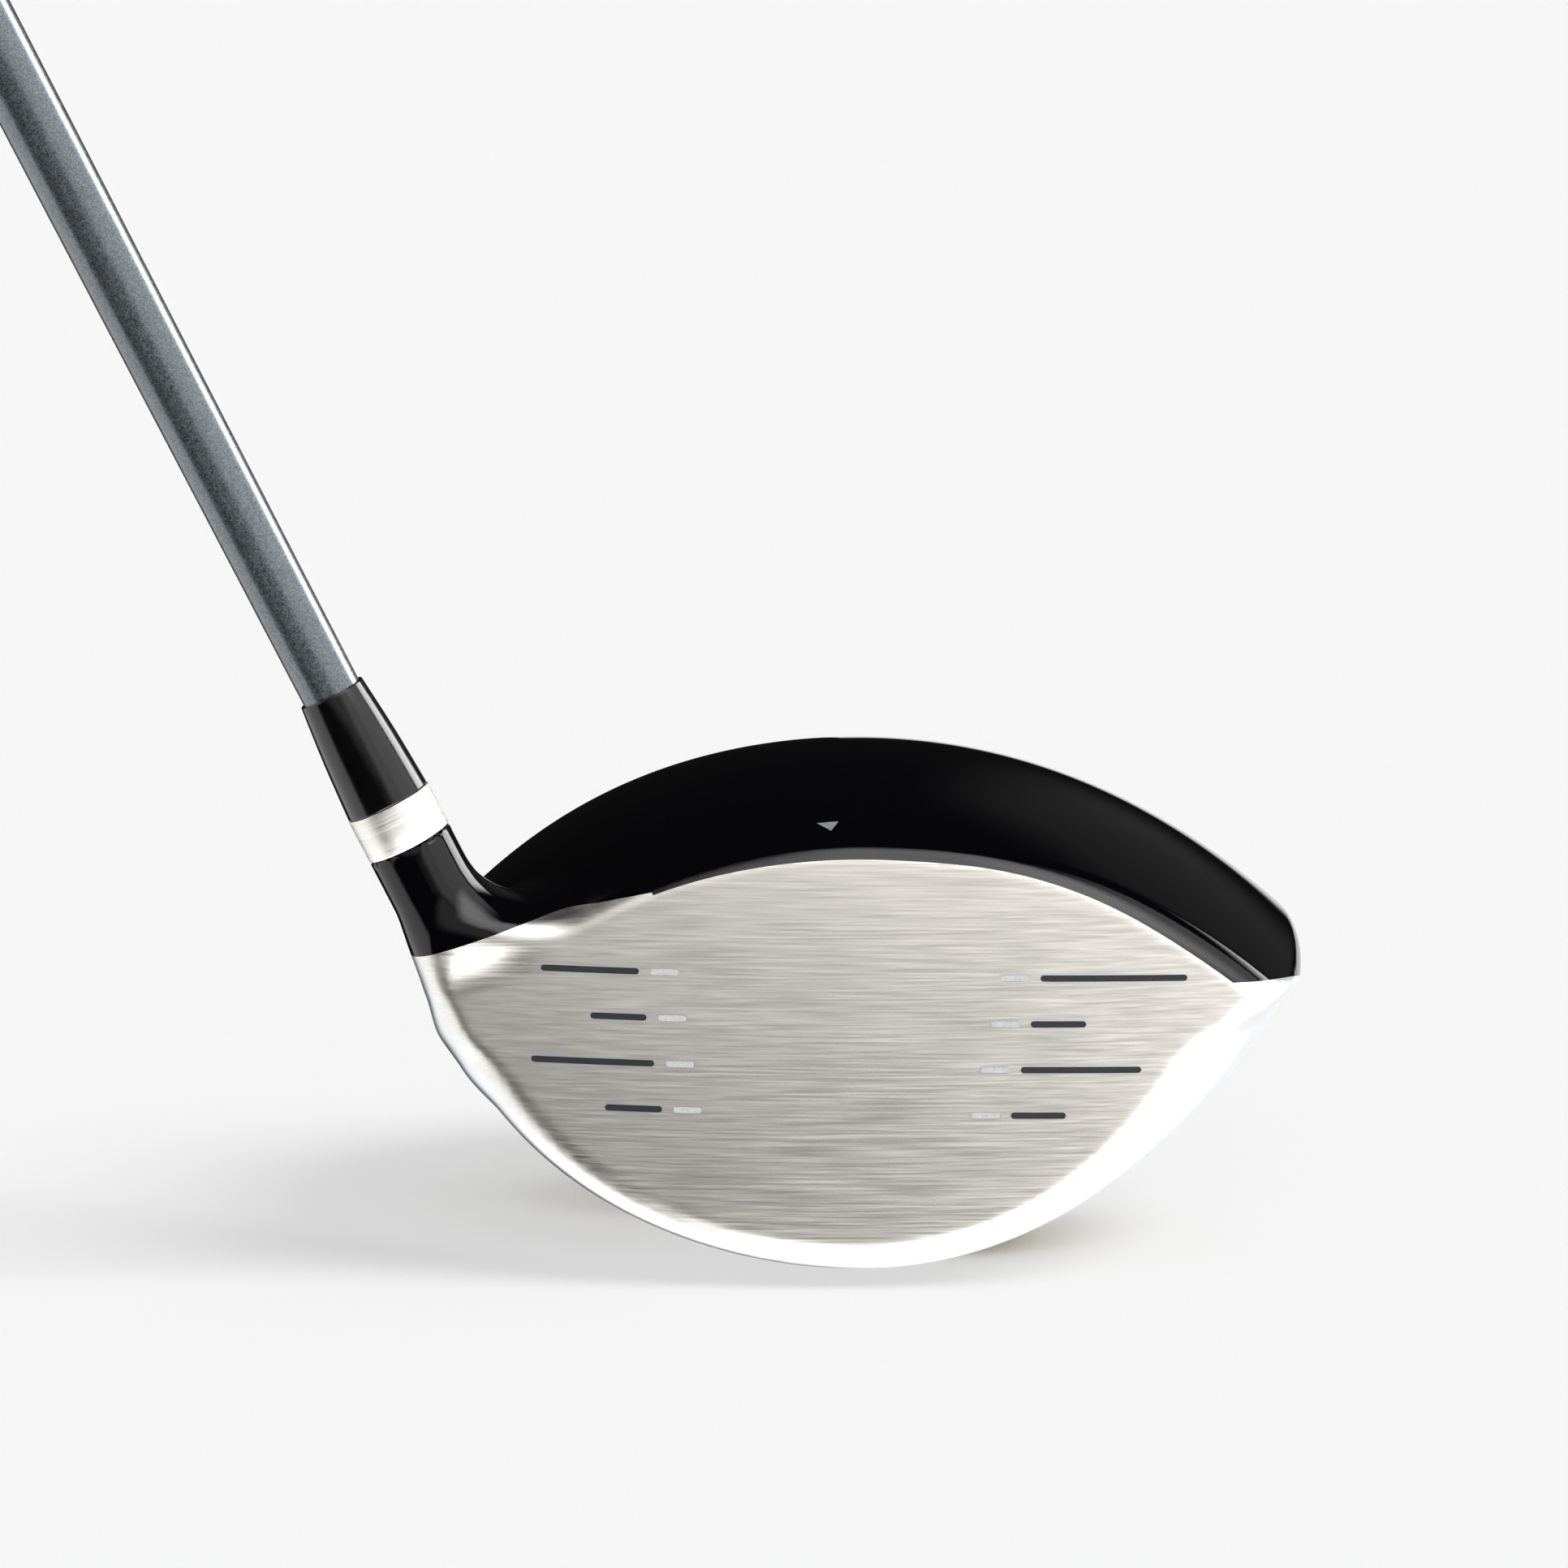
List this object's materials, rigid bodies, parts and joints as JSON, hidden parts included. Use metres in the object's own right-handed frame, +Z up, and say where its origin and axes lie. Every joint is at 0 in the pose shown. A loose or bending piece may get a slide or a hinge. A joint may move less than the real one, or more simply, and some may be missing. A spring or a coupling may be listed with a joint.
{
  "type": "golf driver",
  "caption": "Left-handed golf driver: hollow metal head with rounded crown and lofted face, neck with ferrule, tapered shaft, rubber grip and a screwed swing weight.",
  "frame": {"origin": "on the shaft's axis in the middle of the hands, 130 mm from the butt, where the club is held", "axes": "+Z up with the club soled at address, +X from heel to toe, +Y from the face to the back of the head; the face looks to -Y"},
  "size_m": [0.6235, 0.1099, 1.0267],
  "materials": {
    "brushed_titanium": "fine horizontal brushing",
    "satin_titanium": "bead-blasted satin",
    "bare_titanium": "as cast",
    "black_lacquer": "high gloss",
    "dark_ink": "satin",
    "white_ink": "satin",
    "grey_ink": "satin",
    "black_plastic": "polished",
    "weight_metal": "turned",
    "screw_steel": "black oxide",
    "hot_glue": "waxy",
    "shaft_paint": "metallic blue-grey",
    "brass": "turned",
    "epoxy": "cured",
    "brushed_ring": "brushed round",
    "paper_tape": "creped",
    "grip_rubber": "matt, moulded texture"
  },
  "bodies": {
    "club": {"face_plate": "brushed_titanium", "crown_shell": "black_lacquer", "sole_shell": "satin_titanium", "hosel_neck": "black_lacquer", "score_ink_dark": "dark_ink", "score_ink_white": "white_ink", "alignment_mark": "grey_ink", "hosel_tube": "bare_titanium", "bore_stop": "black_plastic", "weight_port": "satin_titanium", "swing_weight_pad": "bare_titanium", "catch_glue": "hot_glue", "shaft_tube": "shaft_paint", "tip_weight": "brass", "hosel_epoxy": "epoxy", "ferrule_ring": "brushed_ring", "ferrule": "black_plastic", "grip_tape": "paper_tape", "grip_sleeve": "grip_rubber", "grip_cap": "grip_rubber"},
    "slug": {"weight_slug": "weight_metal"},
    "screw": {"weight_screw": "screw_steel"}
  },
  "joints": [
    {"name": "slug_travel", "type": "slide", "parent": "club", "child": "slug", "axis": [0, 0.3637, -0.9315], "range_m": [0, 0.01]},
    {"name": "screw_turn", "type": "hinge", "parent": "slug", "child": "screw", "pos_m": [0.49144, 0.0704, -0.88815], "axis": [0, 0.3637, -0.9315], "range_deg": [0, 3600]}
  ],
  "couplings": [
    {"joint": "screw_turn", "follows": "slug_travel", "rad_per_m": 6283.2}
  ]
}
